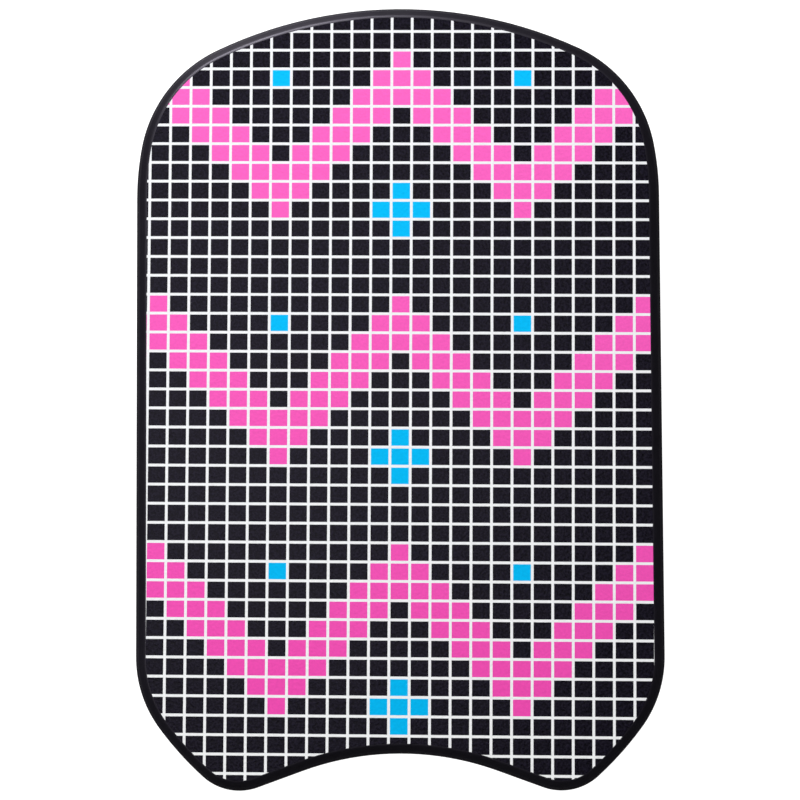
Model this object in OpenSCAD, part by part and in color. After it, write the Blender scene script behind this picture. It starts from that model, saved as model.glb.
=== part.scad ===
// Laminated foam kickboard, lying on its back face: +Y points to the nose, +Z out of the front face.

/* [Board] */
// Length from the nose to the lowest point of the tail lobes
board_length = 432; // [360:1:520]
// Width between the straight sides
board_width = 290; // [240:1:350]
// Thickness through all layers, printed films included
board_thickness = 36; // [26:0.5:45]

/* [Nose] */
// Radius of the shallow crown across the nose
crown_radius = 236; // [195:1:290]
// Radius of each shoulder
shoulder_radius = 75; // [60:1:90]
// Radius of the easing from the shoulder into the straight side
easing_radius = 156; // [120:1:200]
// Turn of that easing, in degrees
easing_turn = 10.5; // [6:0.5:16]

/* [Tail] */
// Radius of each tail corner
corner_radius = 65; // [50:1:80]
// Turn of the tail corner, in degrees
corner_turn = 36.5; // [28:0.5:42]
// Radius of the slightly bowed flank below the corner
flank_radius = 178; // [145:1:220]
// Radius of each tail lobe
lobe_radius = 30; // [22:1:38]
// Distance from the side to the lobe's lowest point
lobe_from_side = 57; // [47:1:68]
// Rise of the arch between the lobes
arch_rise = 20; // [14:0.5:25]
// Straight run between a lobe and the arch
arch_lead = 26; // [15:1:32]

/* [Edge] */
// Width of the bevel around both faces, seen from the face
bevel_width = 5.5; // [2:0.1:7]
// Depth of the bevel, down the side
bevel_depth = 4.5; // [2:0.1:7]
// Rounding of the creases above and below the bevel
crease_radius = 3; // [1:0.1:4]

/* [Layers] */
// Thickness of each foam face sheet
face_sheet_thickness = 3; // [2:0.1:5]
// Thickness of each printed film
print_film_thickness = 0.2; // [0.1:0.05:0.5]
// Thickness of each bond film
bond_film_thickness = 0.2; // [0.1:0.05:0.5]

/* [Smoothness] */
// Furthest that a facet may lie from the true curve
facet_error = 0.05; // [0.02:0.01:0.2]

/* [Hidden] */

half_width = board_width / 2;
nose_y = board_length / 2;
tail_y = -board_length / 2;

// Heights of the joints between the layers, from the back face up
back_sheet_z = print_film_thickness;
back_bond_z = back_sheet_z + face_sheet_thickness;
lower_ply_z = back_bond_z + bond_film_thickness;
core_bond_z = (board_thickness - bond_film_thickness) / 2;
upper_ply_z = core_bond_z + bond_film_thickness;
front_bond_z = board_thickness - lower_ply_z;
front_sheet_z = board_thickness - back_bond_z;
front_film_z = board_thickness - back_sheet_z;

// Outline: a chain of arcs, each tangent to the next. Every arc is [centre, radius, from angle, to angle].
crown_centre = [0, nose_y - crown_radius];
easing_reach = easing_radius - shoulder_radius;
shoulder_x = half_width - easing_radius + easing_reach * cos(easing_turn);
shoulder_rise = sqrt(pow(crown_radius - shoulder_radius, 2) - pow(shoulder_x, 2));
shoulder_centre = [shoulder_x, crown_centre.y + shoulder_rise];
crown_end = atan2(shoulder_rise, shoulder_x);
easing_centre = [half_width - easing_radius, shoulder_centre.y - easing_reach * sin(easing_turn)];

lobe_centre = [half_width - lobe_from_side, tail_y + lobe_radius];
flank_reach = flank_radius - corner_radius;
flank_x = half_width - corner_radius - flank_reach * cos(corner_turn);
flank_rise = sqrt(pow(flank_radius - lobe_radius, 2) - pow(lobe_centre.x - flank_x, 2));
flank_centre = [flank_x, lobe_centre.y + flank_rise];
flank_end = -atan2(flank_rise, lobe_centre.x - flank_x);
corner_centre = [half_width - corner_radius, flank_centre.y - flank_reach * sin(corner_turn)];

arch_and_lobe = (pow(lobe_centre.x, 2) + pow(arch_rise, 2) - pow(arch_lead, 2)) / (2 * arch_rise);
arch_radius = arch_and_lobe - lobe_radius;
arch_centre = [0, tail_y + arch_rise - arch_radius];
to_arch = arch_centre - lobe_centre;
lobe_end = atan2(to_arch.y, to_arch.x) + atan2(arch_lead, arch_and_lobe);

// The arch curves the other way, so its radius is negative and grows when the outline moves inwards.
half_outline = [
    [crown_centre, crown_radius, 90, crown_end],
    [shoulder_centre, shoulder_radius, crown_end, easing_turn],
    [easing_centre, easing_radius, easing_turn, 0],
    [corner_centre, corner_radius, 0, -corner_turn],
    [flank_centre, flank_radius, -corner_turn, flank_end],
    [lobe_centre, lobe_radius, flank_end, lobe_end],
    [arch_centre, -arch_radius, lobe_end, -90]
];

// Bevel profile: a straight cut with a rounded crease at the face and another at the side wall
bevel_slope = atan2(bevel_depth, bevel_width);
bevel_length = norm([bevel_width, bevel_depth]);
crease_share = tan(bevel_slope / 2) + tan((90 - bevel_slope) / 2);
crease = min(crease_radius, 0.9 * bevel_length / crease_share);
face_crease_run = crease * tan(bevel_slope / 2);
wall_crease_run = crease * tan((90 - bevel_slope) / 2);
print_inset = bevel_width + face_crease_run;
wall_depth = bevel_depth + wall_crease_run;
crease_steps = 4;

// [distance in from the side wall, depth below the face] at each ring of the bevel
bevel_rings = [
    for (i = [0 : crease_steps])
        let (t = bevel_slope * i / crease_steps)
        [print_inset - crease * sin(t), crease * (1 - cos(t))],
    for (i = [0 : crease_steps])
        let (t = bevel_slope + (90 - bevel_slope) * i / crease_steps)
        [crease * (1 - sin(t)), wall_depth - crease * cos(t)]
];

// Inset of the outline at any depth below a face, between the rings of the bevel
function inset_at(depth) =
    depth >= wall_depth ? 0 : lookup(depth, [for (ring = bevel_rings) [ring[1], ring[0]]]);

// Heights of every ring of both bevels, from the back face up
ring_heights = [
    for (ring = bevel_rings) back_sheet_z + ring[1],
    for (i = [len(bevel_rings) - 1 : -1 : 0]) front_film_z - bevel_rings[i][1]
];

// Points of one arc of the outline, moved inwards by inset. All insets give the same number of points.
function arc_points(arc, inset) =
    let (
        centre = arc[0],
        sweep = arc[3] - arc[2],
        steps = max(2, ceil(abs(sweep) / (2 * acos(1 - facet_error / abs(arc[1])))))
    )
    [
        for (i = [0 : steps])
            let (a = arc[2] + sweep * i / steps)
            centre + (arc[1] - inset) * [cos(a), sin(a)]
    ];

function same(a, b) = norm(a - b) < 0.001;

// Right half from the crown to the arch, without the points that neighbouring arcs share
function right_half(inset) =
    let (points = [for (arc = half_outline) each arc_points(arc, inset)])
    [for (i = [0 : len(points) - 1]) if (i == 0 || !same(points[i], points[i - 1])) points[i]];

function outline(inset) =
    let (
        right = right_half(inset),
        last = len(right) - 1
    )
    concat(right, [for (i = [last - 1 : -1 : 1]) [-right[i].x, right[i].y]]);

// A slice of the board between two heights, with its edge on the bevel profile
module board_slice(low_z, high_z) {
    between = [for (z = ring_heights) if (z > low_z + 0.01 && z < high_z - 0.01) z];
    heights = concat([low_z], between, [high_z]);
    rings = [
        for (z = heights)
            outline(inset_at(min(z - back_sheet_z, front_film_z - z)))
    ];
    count = len(rings[0]);
    top = len(heights) - 1;
    polyhedron(
        points = [for (k = [0 : top]) for (p = rings[k]) [p.x, p.y, heights[k]]],
        faces = concat(
            [[for (i = [count - 1 : -1 : 0]) i]],
            [
                for (k = [0 : top - 1])
                    for (i = [0 : count - 1])
                        let (next = (i + 1) % count)
                        [k * count + i, k * count + next, (k + 1) * count + next, (k + 1) * count + i]
            ],
            [[for (i = [0 : count - 1]) top * count + i]]
        )
    );
}

// A printed film covers the flat of a face, up to where the bevel's crease starts.
module print_film() {
    linear_extrude(print_film_thickness)
        polygon(outline(print_inset));
}

module back_print_film() {
    color("dimgray")
        print_film();
}

module back_face_sheet() {
    color("black")
        board_slice(back_sheet_z, back_bond_z);
}

module back_bond_film() {
    color("khaki")
        board_slice(back_bond_z, lower_ply_z);
}

module core_lower_ply() {
    color("#202024")
        board_slice(lower_ply_z, core_bond_z);
}

module core_bond_film() {
    color("khaki")
        board_slice(core_bond_z, upper_ply_z);
}

module core_upper_ply() {
    color("#202024")
        board_slice(upper_ply_z, front_bond_z);
}

module front_bond_film() {
    color("khaki")
        board_slice(front_bond_z, front_sheet_z);
}

module front_face_sheet() {
    color("black")
        board_slice(front_sheet_z, front_film_z);
}

module front_print_film() {
    color("hotpink")
        translate([0, 0, front_film_z])
            print_film();
}

back_print_film();
back_face_sheet();
back_bond_film();
core_lower_ply();
core_bond_film();
core_upper_ply();
front_bond_film();
front_face_sheet();
front_print_film();
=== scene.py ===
import math

import bmesh
import bpy
from mathutils import Matrix, Vector


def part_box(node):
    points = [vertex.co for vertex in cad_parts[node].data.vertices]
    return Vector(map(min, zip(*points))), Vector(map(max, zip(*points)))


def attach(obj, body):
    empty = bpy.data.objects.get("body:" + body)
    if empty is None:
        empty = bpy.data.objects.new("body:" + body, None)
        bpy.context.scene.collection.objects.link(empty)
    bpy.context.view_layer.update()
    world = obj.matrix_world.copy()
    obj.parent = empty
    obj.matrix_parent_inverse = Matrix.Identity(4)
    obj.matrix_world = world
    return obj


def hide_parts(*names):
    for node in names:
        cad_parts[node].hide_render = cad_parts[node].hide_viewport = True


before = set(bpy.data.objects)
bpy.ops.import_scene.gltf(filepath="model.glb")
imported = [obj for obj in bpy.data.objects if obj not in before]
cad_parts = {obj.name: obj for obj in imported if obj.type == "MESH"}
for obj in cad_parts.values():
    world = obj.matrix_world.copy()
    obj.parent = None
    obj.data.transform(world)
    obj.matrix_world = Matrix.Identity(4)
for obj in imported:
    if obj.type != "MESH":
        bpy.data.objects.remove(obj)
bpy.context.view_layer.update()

# ---- Foam core ---------------------------------------------------------------------------------
# Two thick plies of black closed-cell EVA foam carry the board. The laminated slab is die-cut to its
# outline, and then its edge is milled in one pass, so every layer is a slice of one trimmed blank.
core_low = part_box("core_lower_ply")[0]
core_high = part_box("core_upper_ply")[1]
face_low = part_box("back_face_sheet")[0].z
face_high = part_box("front_face_sheet")[1].z
half_width = core_high.x
nose_y = core_high.y
tail_y = -nose_y

crown_radius = 0.236
shoulder_radius = 0.075
easing_radius = 0.156
easing_turn = math.radians(10.5)
corner_radius = 0.065
corner_turn = math.radians(36.5)
flank_radius = 0.178
lobe_radius = 0.030
lobe_from_side = 0.057
arch_rise = 0.020
arch_lead = 0.026
bevel_width = 0.0055
bevel_depth = 0.0045
crease_radius = 0.003


def swing(bm, tip, centre, turn):
    """Draws an arc clockwise from the vertex tip, and returns the vertex at its end."""
    steps = max(3, math.ceil(math.degrees(abs(turn)) / 2))
    arc = bmesh.ops.spin(
        bm, geom=[tip], cent=(centre.x, centre.y, tip.co.z), axis=(0, 0, 1), dvec=(0, 0, 0),
        angle=-turn, steps=steps, use_merge=False, use_normal_flip=False, use_duplicate=False,
    )
    return next(v for v in arc["geom_last"] if isinstance(v, bmesh.types.BMVert))


def run_to(bm, tip, place):
    """Draws a straight edge from the vertex tip, and returns its other end."""
    grown = bmesh.ops.extrude_vert_indiv(bm, verts=[tip])["verts"][0]
    grown.co = (place.x, place.y, tip.co.z)
    return grown


def outline_face(bm, inset, height):
    """Draws the board's outline, moved inwards by inset, as one face that looks up."""
    crown = Vector((0, nose_y - crown_radius))
    reach = easing_radius - shoulder_radius
    shoulder_x = half_width - easing_radius + reach * math.cos(easing_turn)
    rise = math.sqrt((crown_radius - shoulder_radius) ** 2 - shoulder_x ** 2)
    shoulder = Vector((shoulder_x, crown.y + rise))
    crown_end = math.atan2(rise, shoulder_x)
    easing = Vector((half_width - easing_radius, shoulder.y - reach * math.sin(easing_turn)))

    lobe = Vector((half_width - lobe_from_side, tail_y + lobe_radius))
    reach = flank_radius - corner_radius
    flank_x = half_width - corner_radius - reach * math.cos(corner_turn)
    drop = math.sqrt((flank_radius - lobe_radius) ** 2 - (lobe.x - flank_x) ** 2)
    flank = Vector((flank_x, lobe.y + drop))
    flank_end = -math.atan2(drop, lobe.x - flank_x)
    corner = Vector((half_width - corner_radius, flank.y - reach * math.sin(corner_turn)))

    arch_and_lobe = (lobe.x ** 2 + arch_rise ** 2 - arch_lead ** 2) / (2 * arch_rise)
    arch_radius = arch_and_lobe - lobe_radius
    arch = Vector((0, tail_y + arch_rise - arch_radius))
    to_arch = arch - lobe
    lobe_end = math.atan2(to_arch.y, to_arch.x) + math.atan2(arch_lead, arch_and_lobe)
    arch_start = arch - (arch_radius + inset) * Vector((math.cos(lobe_end), math.sin(lobe_end)))

    tip = bm.verts.new((0, nose_y - inset, height))
    tip = swing(bm, tip, crown, math.pi / 2 - crown_end)
    tip = swing(bm, tip, shoulder, crown_end - easing_turn)
    tip = swing(bm, tip, easing, easing_turn)
    tip = run_to(bm, tip, Vector((half_width - inset, corner.y)))
    tip = swing(bm, tip, corner, corner_turn)
    tip = swing(bm, tip, flank, -flank_end - corner_turn)
    tip = swing(bm, tip, lobe, flank_end - lobe_end)
    tip = run_to(bm, tip, arch_start)
    swing(bm, tip, arch, lobe_end + math.pi / 2)
    bmesh.ops.mirror(
        bm, geom=bm.verts[:] + bm.edges[:], matrix=Matrix.Identity(4), merge_dist=1e-6, axis="X"
    )
    face = bmesh.ops.contextual_create(bm, geom=bm.edges[:])["faces"][0]
    if face.normal.z < 0:
        face.normal_flip()
    return face


def raise_face(bm, face, height):
    """Extrudes a face straight up to a height, and returns the new one."""
    made = bmesh.ops.extrude_face_region(bm, geom=[face])["geom"]
    top = next(f for f in made if isinstance(f, bmesh.types.BMFace))
    bmesh.ops.translate(bm, verts=top.verts[:], vec=(0, 0, height - top.verts[0].co.z))
    return top


def loops_at(bm, height):
    return [e for e in bm.edges if all(abs(v.co.z - height) < 1e-6 for v in e.verts)]


def trimmed_blank():
    """The whole laminated slab, with the milled bevel and its soft creases on both faces."""
    bm = bmesh.new()
    low_wall = face_low + bevel_depth
    high_wall = face_high - bevel_depth
    bottom = outline_face(bm, 0, low_wall)
    top = raise_face(bm, bottom, high_wall)
    if bottom.normal.z > 0:
        bottom.normal_flip()
    for face in (top, bottom):
        bmesh.ops.inset_region(
            bm, faces=[face], thickness=bevel_width, depth=bevel_depth,
            use_boundary=True, use_even_offset=True,
        )
    slope = math.atan2(bevel_depth, bevel_width)
    creases = {
        face_low: slope,
        low_wall: math.pi / 2 - slope,
        high_wall: math.pi / 2 - slope,
        face_high: slope,
    }
    for height, turn in creases.items():
        bmesh.ops.bevel(
            bm, geom=loops_at(bm, height), offset=crease_radius * math.tan(turn / 2),
            offset_type="OFFSET", segments=5, profile=0.5, affect="EDGES", material=-1,
        )
    return bm


blank = trimmed_blank()
seam_break = 0.0002
# How far from the board's middle height the side wall's painted light reaches, and over what height it
# fades out before that.
painted_wall_light_half_height = (face_high - face_low) / 2 - bevel_depth - 0.0015
painted_wall_light_fade = 0.0010


def cut_layer(name, low_z, high_z):
    """Cuts the layer between two heights out of the blank, and breaks its sharp seam edges."""
    bm = blank.copy()
    for height, keep_above in ((low_z, True), (high_z, False)):
        if not face_low + 1e-5 < height < face_high - 1e-5:
            continue
        cut = bmesh.ops.bisect_plane(
            bm, geom=bm.verts[:] + bm.edges[:] + bm.faces[:], dist=1e-7,
            plane_co=(0, 0, height), plane_no=(0, 0, 1),
            clear_inner=keep_above, clear_outer=not keep_above,
        )["geom_cut"]
        seam = [e for e in cut if isinstance(e, bmesh.types.BMEdge)]
        bmesh.ops.contextual_create(bm, geom=seam)
        bmesh.ops.bevel(
            bm, geom=loops_at(bm, height), offset=min(seam_break, (high_z - low_z) / 4),
            offset_type="OFFSET", segments=2, profile=0.5, affect="EDGES", material=-1,
        )
    bmesh.ops.recalc_face_normals(bm, faces=bm.faces[:])
    return finished(name, bm)


def finished(name, bm):
    """Turns a bmesh into a smooth-shaded object of the board."""
    mesh = bpy.data.meshes.new(name)
    bm.to_mesh(mesh)
    bm.free()
    piece = bpy.data.objects.new(name, mesh)
    bpy.context.scene.collection.objects.link(piece)
    mesh.shade_smooth()
    mesh.set_sharp_from_angle(angle=math.radians(15))
    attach(piece, "root")
    return piece


def foam_material(name, colour, cell_size, cell_depth, roughness, gloss, painted_wall_light):
    """Closed-cell foam: cut cells that show as fine speckle and pits, under a faint cloudy tone.

    The side wall between the bevels is painted lighter than the bevel by a given factor, as painted light
    on the side, and has faint upright knife marks.
    """
    material = bpy.data.materials.new(name)
    material.use_nodes = True
    nodes, links = material.node_tree.nodes, material.node_tree.links
    shader = nodes["Principled BSDF"]
    shader.inputs["Specular IOR Level"].default_value = gloss
    shader.inputs["Specular Tint"].default_value = (0.88, 0.82, 1.0, 1)
    place = nodes.new("ShaderNodeTexCoord")

    cells = nodes.new("ShaderNodeTexVoronoi")
    cells.feature = "SMOOTH_F1"
    cells.inputs["Scale"].default_value = 1 / cell_size
    cells.inputs["Smoothness"].default_value = 0.6
    links.new(place.outputs["Object"], cells.inputs["Vector"])
    bump = nodes.new("ShaderNodeBump")
    bump.inputs["Strength"].default_value = 1.0
    bump.inputs["Distance"].default_value = cell_depth
    links.new(cells.outputs["Distance"], bump.inputs["Height"])
    links.new(bump.outputs["Normal"], shader.inputs["Normal"])

    clouds = nodes.new("ShaderNodeTexNoise")
    clouds.inputs["Scale"].default_value = 60
    clouds.inputs["Detail"].default_value = 4
    links.new(place.outputs["Object"], clouds.inputs["Vector"])
    speckle = nodes.new("ShaderNodeMath")
    speckle.operation = "ADD"
    links.new(clouds.outputs["Fac"], speckle.inputs[0])
    links.new(cells.outputs["Distance"], speckle.inputs[1])
    tone = nodes.new("ShaderNodeValToRGB")
    tone.color_ramp.elements[0].position = 0.5
    tone.color_ramp.elements[0].color = (*[c * 0.75 for c in colour], 1)
    tone.color_ramp.elements[1].position = 1.0
    tone.color_ramp.elements[1].color = (*[c * 1.25 for c in colour], 1)
    links.new(speckle.outputs["Value"], tone.inputs["Fac"])

    # Painted light on the side wall: near the board's middle height the colour is made lighter by a given
    # factor, fading out towards the bevels.
    split = nodes.new("ShaderNodeSeparateXYZ")
    links.new(place.outputs["Object"], split.inputs["Vector"])
    from_middle = nodes.new("ShaderNodeMath")
    from_middle.operation = "SUBTRACT"
    from_middle.inputs[1].default_value = (face_low + face_high) / 2
    links.new(split.outputs["Z"], from_middle.inputs[0])
    to_face = nodes.new("ShaderNodeMath")
    to_face.operation = "ABSOLUTE"
    links.new(from_middle.outputs["Value"], to_face.inputs[0])
    lift = nodes.new("ShaderNodeMapRange")
    lift.interpolation_type = "SMOOTHSTEP"
    lift.inputs["From Min"].default_value = painted_wall_light_half_height - painted_wall_light_fade
    lift.inputs["From Max"].default_value = painted_wall_light_half_height
    lift.inputs["To Min"].default_value = painted_wall_light
    lift.inputs["To Max"].default_value = 1
    links.new(to_face.outputs["Value"], lift.inputs["Value"])

    stretch = nodes.new("ShaderNodeMapping")
    stretch.inputs["Scale"].default_value = (1, 1, 0.04)
    links.new(place.outputs["Object"], stretch.inputs["Vector"])
    marks = nodes.new("ShaderNodeTexNoise")
    marks.inputs["Scale"].default_value = 500
    marks.inputs["Detail"].default_value = 3
    links.new(stretch.outputs["Vector"], marks.inputs["Vector"])
    drag = nodes.new("ShaderNodeMapRange")
    drag.inputs["From Min"].default_value = 0.3
    drag.inputs["From Max"].default_value = 0.7
    drag.inputs["To Min"].default_value = 0.90
    drag.inputs["To Max"].default_value = 1.10
    links.new(marks.outputs["Fac"], drag.inputs["Value"])
    painted_wall_light_and_marks = nodes.new("ShaderNodeMath")
    painted_wall_light_and_marks.operation = "MULTIPLY"
    links.new(lift.outputs["Result"], painted_wall_light_and_marks.inputs[0])
    links.new(drag.outputs["Result"], painted_wall_light_and_marks.inputs[1])
    cut = nodes.new("ShaderNodeHueSaturation")
    links.new(painted_wall_light_and_marks.outputs["Value"], cut.inputs["Value"])
    links.new(tone.outputs["Color"], cut.inputs["Color"])
    links.new(cut.outputs["Color"], shader.inputs["Base Color"])

    wear = nodes.new("ShaderNodeMapRange")
    wear.inputs["To Min"].default_value = roughness - 0.06
    wear.inputs["To Max"].default_value = roughness + 0.06
    links.new(clouds.outputs["Fac"], wear.inputs["Value"])
    links.new(wear.outputs["Result"], shader.inputs["Roughness"])
    return material


# The core foam's side wall gets painted light: its colour there is 2.3 times lighter than on the bevel.
core_foam = foam_material("core_foam", (0.0105, 0.0096, 0.0125), 0.0011, 0.00010, 0.50, 0.35, 2.3)
for name in ("core_lower_ply", "core_upper_ply"):
    low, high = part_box(name)
    ply = cut_layer("foam_" + name, low.z, high.z)
    ply.data.materials.append(core_foam)
    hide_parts(name)

# ---- Bond films --------------------------------------------------------------------------------
# Thin sheets of black-tinted hot-melt web, laid between the foam layers and melted under the press.
# Only their trimmed edges show, as hairlines around the side.
bond_web = foam_material("bond_web", (0.010, 0.010, 0.012), 0.0004, 0.00001, 0.5, 0.4, 1)
for name in ("back_bond_film", "core_bond_film", "front_bond_film"):
    low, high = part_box(name)
    film = cut_layer("web_" + name, low.z, high.z)
    film.data.materials.append(bond_web)
    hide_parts(name)

# ---- Face sheets -------------------------------------------------------------------------------
# A thinner, denser sheet of the same black foam on each face. Its milled edge makes the upper part
# of the bevel, and the crease at the print is rounded by the cutter.
face_foam = foam_material("face_foam", (0.0056, 0.0048, 0.0076), 0.0006, 0.000012, 0.42, 0.42, 1)
for name in ("back_face_sheet", "front_face_sheet"):
    low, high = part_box(name)
    sheet = cut_layer("foam_" + name, low.z, high.z)
    sheet.data.materials.append(face_foam)
    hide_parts(name)

# ---- Printed films -----------------------------------------------------------------------------
# A black polymer film on each face, printed with a fine white grid and, on the front, with stepped
# colour bands. Each ink is a thin coat on the film, and all of it stops at the bevel's crease.
print_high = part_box("front_print_film")[1]
print_inset = nose_y - print_high.y
column_pitch = 0.01113
row_pitch = 0.01046
line_width = 0.00150
ink_depth = 0.000015
print_shift = Vector((0.00130, 0.00288))
print_turn = math.radians(-0.56)
columns_each_side = 13
rows_each_side = 21

band_thickness = 3
band_repeat = 13
band_reach = 6
first_band = -18
band_count = 3


def ink_at(column, row):
    """Which ink fills a block: column 0 is the middle one, and rows count from the middle to the tail."""
    fold = abs((column + band_reach) % (2 * band_reach) - band_reach)
    from_band = row - first_band - fold
    band, depth = divmod(from_band, band_repeat)
    if 0 <= band < band_count and depth < band_thickness:
        return "pink"
    for band in range(band_count):
        top = first_band + band * band_repeat
        if abs(column) + abs(row - top - 8) <= 1:
            return "blue"
        if abs(column) == band_reach and row == top + 1:
            return "blue"
    return "black"


def block_of(place, turn):
    """(column, row, whether the place is on a white line) of a point on a face."""
    flat = Matrix.Rotation(-turn, 2) @ (Vector((place.x, place.y)) - print_shift)
    across, down = flat.x / column_pitch, -flat.y / row_pitch
    column, row = round(across), math.floor(down)
    off_x = (0.5 - abs(across - column)) * column_pitch
    off_y = min(down - row, 1 - (down - row)) * row_pitch
    return column, row, min(off_x, off_y) < line_width / 2


def printed_face(bm, height):
    """The film's face, cut along both edges of every grid line."""
    outline_face(bm, print_inset, height)
    along, across = (Matrix.Rotation(print_turn, 2) @ Vector(v) for v in ((1, 0), (0, 1)))
    lines = [(along, (k + 0.5) * column_pitch) for k in range(-columns_each_side, columns_each_side)]
    lines += [(across, k * row_pitch) for k in range(-rows_each_side, rows_each_side + 1)]
    for normal, distance in lines:
        for side in (-line_width / 2, line_width / 2):
            spot = print_shift + normal * (distance + side)
            bmesh.ops.bisect_plane(
                bm, geom=bm.verts[:] + bm.edges[:] + bm.faces[:], dist=1e-6,
                plane_co=(spot.x, spot.y, height), plane_no=(normal.x, normal.y, 0),
            )


def ink_of(face, coloured):
    column, row, on_line = block_of(face.calc_center_median(), print_turn)
    if on_line:
        return "white"
    return ink_at(column, row) if coloured else "black"


def closed_from(bm, far_height):
    """Thickens an open flat sheet to a closed solid that ends at far_height."""
    grown = bmesh.ops.extrude_face_region(bm, geom=bm.faces[:])["geom"]
    for v in (g for g in grown if isinstance(g, bmesh.types.BMVert)):
        v.co.z = far_height


def printed_film(face, shown_z, hidden_z, coloured):
    """The black film and the inks printed on it, for one face of the board."""
    ink_floor = shown_z + math.copysign(ink_depth, hidden_z - shown_z)
    film = bmesh.new()
    raise_face(film, outline_face(film, print_inset, hidden_z), ink_floor)
    layers = {"black": film}
    sheet = bmesh.new()
    printed_face(sheet, ink_floor)
    for ink in ("white", "pink", "blue") if coloured else ("white",):
        layer = sheet.copy()
        others = [f for f in layer.faces if ink_of(f, coloured) != ink]
        bmesh.ops.delete(layer, geom=others, context="FACES")
        closed_from(layer, shown_z)
        layers[ink] = layer
    sheet.free()
    for ink, bm in layers.items():
        bmesh.ops.recalc_face_normals(bm, faces=bm.faces[:])
        piece = finished(f"{face}_film" if ink == "black" else f"{face}_{ink}_ink", bm)
        piece.data.materials.append(inks[ink])
        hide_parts(face + "_print_film")


def ink_material(name, nose_painted_light_colour, tail_painted_light_colour, sheen_tint, unevenness, roughness, gloss):
    """A satin print on a finely grained film: the ink follows the grain, and lies slightly unevenly."""
    material = bpy.data.materials.new(name)
    material.use_nodes = True
    nodes, links = material.node_tree.nodes, material.node_tree.links
    shader = nodes["Principled BSDF"]
    shader.inputs["Specular IOR Level"].default_value = gloss
    shader.inputs["Specular Tint"].default_value = (*sheen_tint, 1)
    place = nodes.new("ShaderNodeTexCoord")

    # Painted light and shade: the colour fades from the nose colour to the tail colour along the board,
    # following the studio's light.
    split = nodes.new("ShaderNodeSeparateXYZ")
    links.new(place.outputs["Object"], split.inputs["Vector"])
    along = nodes.new("ShaderNodeMapRange")
    along.inputs["From Min"].default_value = nose_y
    along.inputs["From Max"].default_value = tail_y
    links.new(split.outputs["Y"], along.inputs["Value"])
    painted_light_fade = nodes.new("ShaderNodeValToRGB")
    painted_light_fade.color_ramp.elements[0].color = (*nose_painted_light_colour, 1)
    painted_light_fade.color_ramp.elements[1].color = (*tail_painted_light_colour, 1)
    links.new(along.outputs["Result"], painted_light_fade.inputs["Fac"])

    grain = nodes.new("ShaderNodeTexNoise")
    grain.inputs["Scale"].default_value = 700
    grain.inputs["Detail"].default_value = 3
    grain.inputs["Roughness"].default_value = 0.65
    links.new(place.outputs["Object"], grain.inputs["Vector"])
    lift = nodes.new("ShaderNodeMapRange")
    lift.inputs["From Min"].default_value = 0.3
    lift.inputs["From Max"].default_value = 0.7
    lift.inputs["To Min"].default_value = 1 - unevenness
    lift.inputs["To Max"].default_value = 1 + unevenness
    links.new(grain.outputs["Fac"], lift.inputs["Value"])
    tone = nodes.new("ShaderNodeHueSaturation")
    links.new(lift.outputs["Result"], tone.inputs["Value"])
    links.new(painted_light_fade.outputs["Color"], tone.inputs["Color"])
    links.new(tone.outputs["Color"], shader.inputs["Base Color"])

    bump = nodes.new("ShaderNodeBump")
    bump.inputs["Strength"].default_value = 1.0
    bump.inputs["Distance"].default_value = 0.00022
    links.new(grain.outputs["Fac"], bump.inputs["Height"])
    links.new(bump.outputs["Normal"], shader.inputs["Normal"])

    sheen = nodes.new("ShaderNodeMapRange")
    sheen.inputs["To Min"].default_value = roughness - 0.08
    sheen.inputs["To Max"].default_value = roughness + 0.08
    links.new(grain.outputs["Fac"], sheen.inputs["Value"])
    links.new(sheen.outputs["Result"], shader.inputs["Roughness"])
    return material


black = (0.0052, 0.0042, 0.0092)
violet = (0.88, 0.82, 1.0)
blue = (0.0, 0.50, 0.94)
plain = (1, 1, 1)
# The white and pink inks' two colours are painted light and shade along the board: the white is painted
# darker at the nose and lighter at the tail, and the pink is painted darker at the tail.
inks = {
    "black": ink_material("black_film", black, black, violet, 0.98, 0.27, 0.094),
    "white": ink_material("white_ink", (0.83, 0.84, 0.87), (0.97, 0.98, 0.99), plain, 0.01, 0.65, 0.2),
    "pink": ink_material("pink_ink", (0.95, 0.135, 0.54), (0.93, 0.070, 0.46), plain, 0.05, 0.65, 0.1),
    "blue": ink_material("blue_ink", blue, blue, plain, 0.05, 0.65, 0.05),
}
low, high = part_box("front_print_film")
printed_film("front", high.z, low.z, True)
low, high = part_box("back_print_film")
printed_film("back", low.z, high.z, False)
blank.free()

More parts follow.
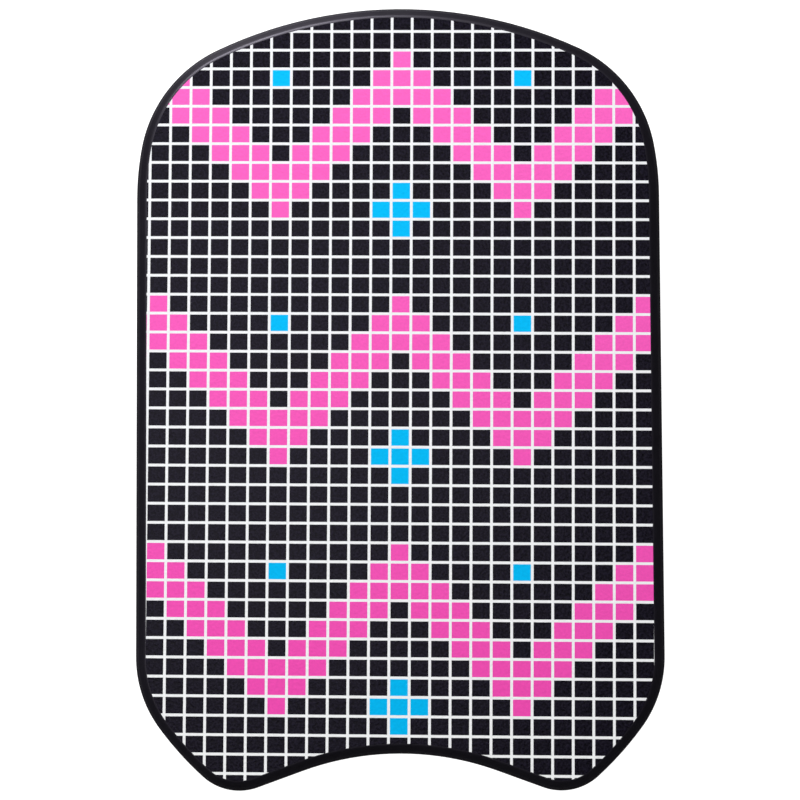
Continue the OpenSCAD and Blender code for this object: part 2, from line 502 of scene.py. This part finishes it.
# ---- Studio ------------------------------------------------------------------------------------
# A pale matt table, a large softbox beyond the nose, a weaker one at the left, and a camera that
# looks almost straight down on the front face.
table_size = 16
bm = bmesh.new()
bmesh.ops.create_grid(bm, x_segments=1, y_segments=1, size=table_size / 2)
mesh = bpy.data.meshes.new("table")
bm.to_mesh(mesh)
bm.free()
table = bpy.data.objects.new("table", mesh)
bpy.context.scene.collection.objects.link(table)
paper = bpy.data.materials.new("table_paper")
paper.use_nodes = True
paper_shader = paper.node_tree.nodes["Principled BSDF"]
paper_shader.inputs["Base Color"].default_value = (0.30, 0.30, 0.30, 1)
paper_shader.inputs["Roughness"].default_value = 0.9
paper_shader.inputs["Emission Color"].default_value = (1, 1, 1, 1)
paper_shader.inputs["Emission Strength"].default_value = 1.1
mesh.materials.append(paper)
table.visible_glossy = False

sweep_radius = 8
bm = bmesh.new()
bmesh.ops.create_cone(
    bm, cap_ends=False, cap_tris=False, segments=96,
    radius1=sweep_radius, radius2=sweep_radius, depth=2 * sweep_radius,
)
mesh = bpy.data.meshes.new("backdrop")
bm.to_mesh(mesh)
bm.free()
backdrop = bpy.data.objects.new("backdrop", mesh)
bpy.context.scene.collection.objects.link(backdrop)
glow = bpy.data.materials.new("backdrop_glow")
glow.use_nodes = True
glow_shader = glow.node_tree.nodes["Principled BSDF"]
glow_shader.inputs["Base Color"].default_value = (0, 0, 0, 1)
glow_shader.inputs["Emission Color"].default_value = (1, 1, 1, 1)
glow_shader.inputs["Emission Strength"].default_value = 1
mesh.materials.append(glow)
backdrop.visible_diffuse = False
backdrop.visible_glossy = False
backdrop.visible_shadow = False


def softbox(name, place, size, power):
    """A square area light that faces the board's middle."""
    lamp = bpy.data.lights.new(name, "AREA")
    lamp.shape = "SQUARE"
    lamp.size = size
    lamp.energy = power
    light = bpy.data.objects.new(name, lamp)
    light.location = place
    light.rotation_euler = (Vector((0, 0, 0)) - Vector(place)).to_track_quat("-Z", "Y").to_euler()
    bpy.context.scene.collection.objects.link(light)


softbox("nose_softbox", (-0.68, 1.69, 1.05), 0.9, 55)
softbox("high_softbox", (-0.30, 0.07, 1.60), 1.08, 10.3)

world = bpy.data.worlds.new("studio")
world.use_nodes = True
world.node_tree.nodes["Background"].inputs["Color"].default_value = (1, 1, 1, 1)
world.node_tree.nodes["Background"].inputs["Strength"].default_value = 0.05
bpy.context.scene.world = world
bpy.context.scene.view_settings.view_transform = "Standard"

camera_data = bpy.data.cameras.new("camera")
camera_data.lens = 67.5
camera = bpy.data.objects.new("camera", camera_data)
camera.location = (0.01595, -0.03712, 0.85745)
camera.rotation_euler = (math.radians(2.395), math.radians(1.05), math.radians(-0.281))
bpy.context.scene.collection.objects.link(camera)
bpy.context.scene.camera = camera
